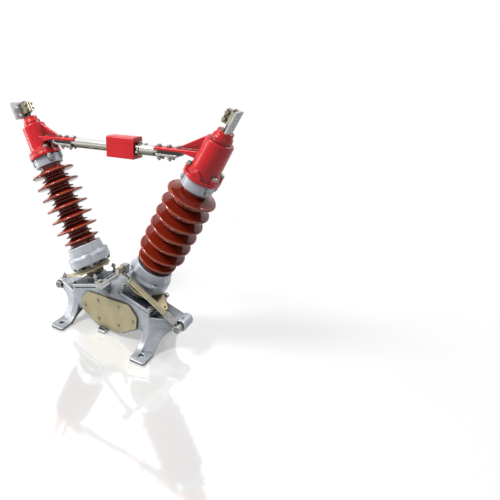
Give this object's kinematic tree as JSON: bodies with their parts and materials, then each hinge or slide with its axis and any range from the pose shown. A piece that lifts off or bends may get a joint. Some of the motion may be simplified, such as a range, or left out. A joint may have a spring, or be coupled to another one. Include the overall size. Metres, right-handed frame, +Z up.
{
  "type": "centre-break disconnect switch pole",
  "caption": "One pole of an outdoor high-voltage disconnect switch: two leaning post insulators that turn to part the contact arms between them.",
  "frame": {"origin": "on the floor, at the centre of the four foot holes", "axes": "+Z up, +X from the hood's column to the blade's column, -Y to the side that the arms swing to"},
  "size_m": [1.027, 0.372, 0.9617],
  "materials": {
    "porcelain": "gloss glaze",
    "cap_red": "gloss",
    "casting_grey": "galvanised",
    "flange_grey": "galvanised",
    "yellow_zinc": "yellow zinc plate",
    "lever_tan": "yellow zinc plate",
    "rod_tan": "yellow zinc plate",
    "zinc_steel": "zinc plate",
    "spindle_steel": "machined",
    "tube_silver": "bright drawn",
    "palm_silver": "tinned",
    "contact_silver": "silver plated",
    "clamp_brass": "cast"
  },
  "bodies": {
    "base": {"base_casting": "casting_grey", "front_cover": "yellow_zinc", "rear_cover": "yellow_zinc", "bearing_seat_left": "casting_grey", "bearing_seat_right": "casting_grey", "ear_pin_left": "rod_tan", "ear_pin_right": "rod_tan", "rod_bracket": "zinc_steel", "stay_rod": "rod_tan", "rod_sleeve": "zinc_steel"},
    "column_left": {"porcelain_post_left": "porcelain", "cap_left": "cap_red", "bottom_flange_left": "flange_grey", "top_flange_left": "flange_grey", "levelling_studs_left": "zinc_steel", "spindle_left": "spindle_steel", "lever_plate_left": "lever_tan", "tube_clamp_left": "zinc_steel", "contact_tube_left": "tube_silver", "contact_hood": "cap_red", "contact_fingers": "contact_silver"},
    "column_right": {"porcelain_post_right": "porcelain", "cap_right": "cap_red", "bottom_flange_right": "flange_grey", "top_flange_right": "flange_grey", "levelling_studs_right": "zinc_steel", "spindle_right": "spindle_steel", "lever_plate_right": "lever_tan", "tube_clamp_right": "zinc_steel", "contact_tube_right": "tube_silver", "contact_blade": "contact_silver"},
    "terminal_left": {"terminal_stud_left": "spindle_steel", "terminal_clamp_left": "clamp_brass", "palm_plate_left": "palm_silver"},
    "terminal_right": {"terminal_stud_right": "spindle_steel", "terminal_clamp_right": "clamp_brass", "palm_plate_right": "palm_silver"}
  },
  "joints": [
    {"name": "column_left_turn", "type": "hinge", "parent": "base", "child": "column_left", "pos_m": [-0.19, 0, 0.35], "axis": [-0.4462, 0, 0.8949], "range_deg": [-90, 0]},
    {"name": "terminal_left_swivel", "type": "hinge", "parent": "column_left", "child": "terminal_left", "pos_m": [-0.19, 0, 0.35], "axis": [-0.4462, 0, 0.8949], "range_deg": [0, 90]},
    {"name": "column_right_turn", "type": "hinge", "parent": "base", "child": "column_right", "pos_m": [0.19, 0, 0.35], "axis": [0.4462, 0, 0.8949], "range_deg": [0, 90]},
    {"name": "terminal_right_swivel", "type": "hinge", "parent": "column_right", "child": "terminal_right", "pos_m": [0.19, 0, 0.35], "axis": [0.4462, 0, 0.8949], "range_deg": [-90, 0]}
  ],
  "couplings": [
    {"joint": "column_right_turn", "follows": "column_left_turn", "ratio": -1},
    {"joint": "terminal_left_swivel", "follows": "column_left_turn", "ratio": -1},
    {"joint": "terminal_right_swivel", "follows": "column_left_turn", "ratio": 1}
  ]
}
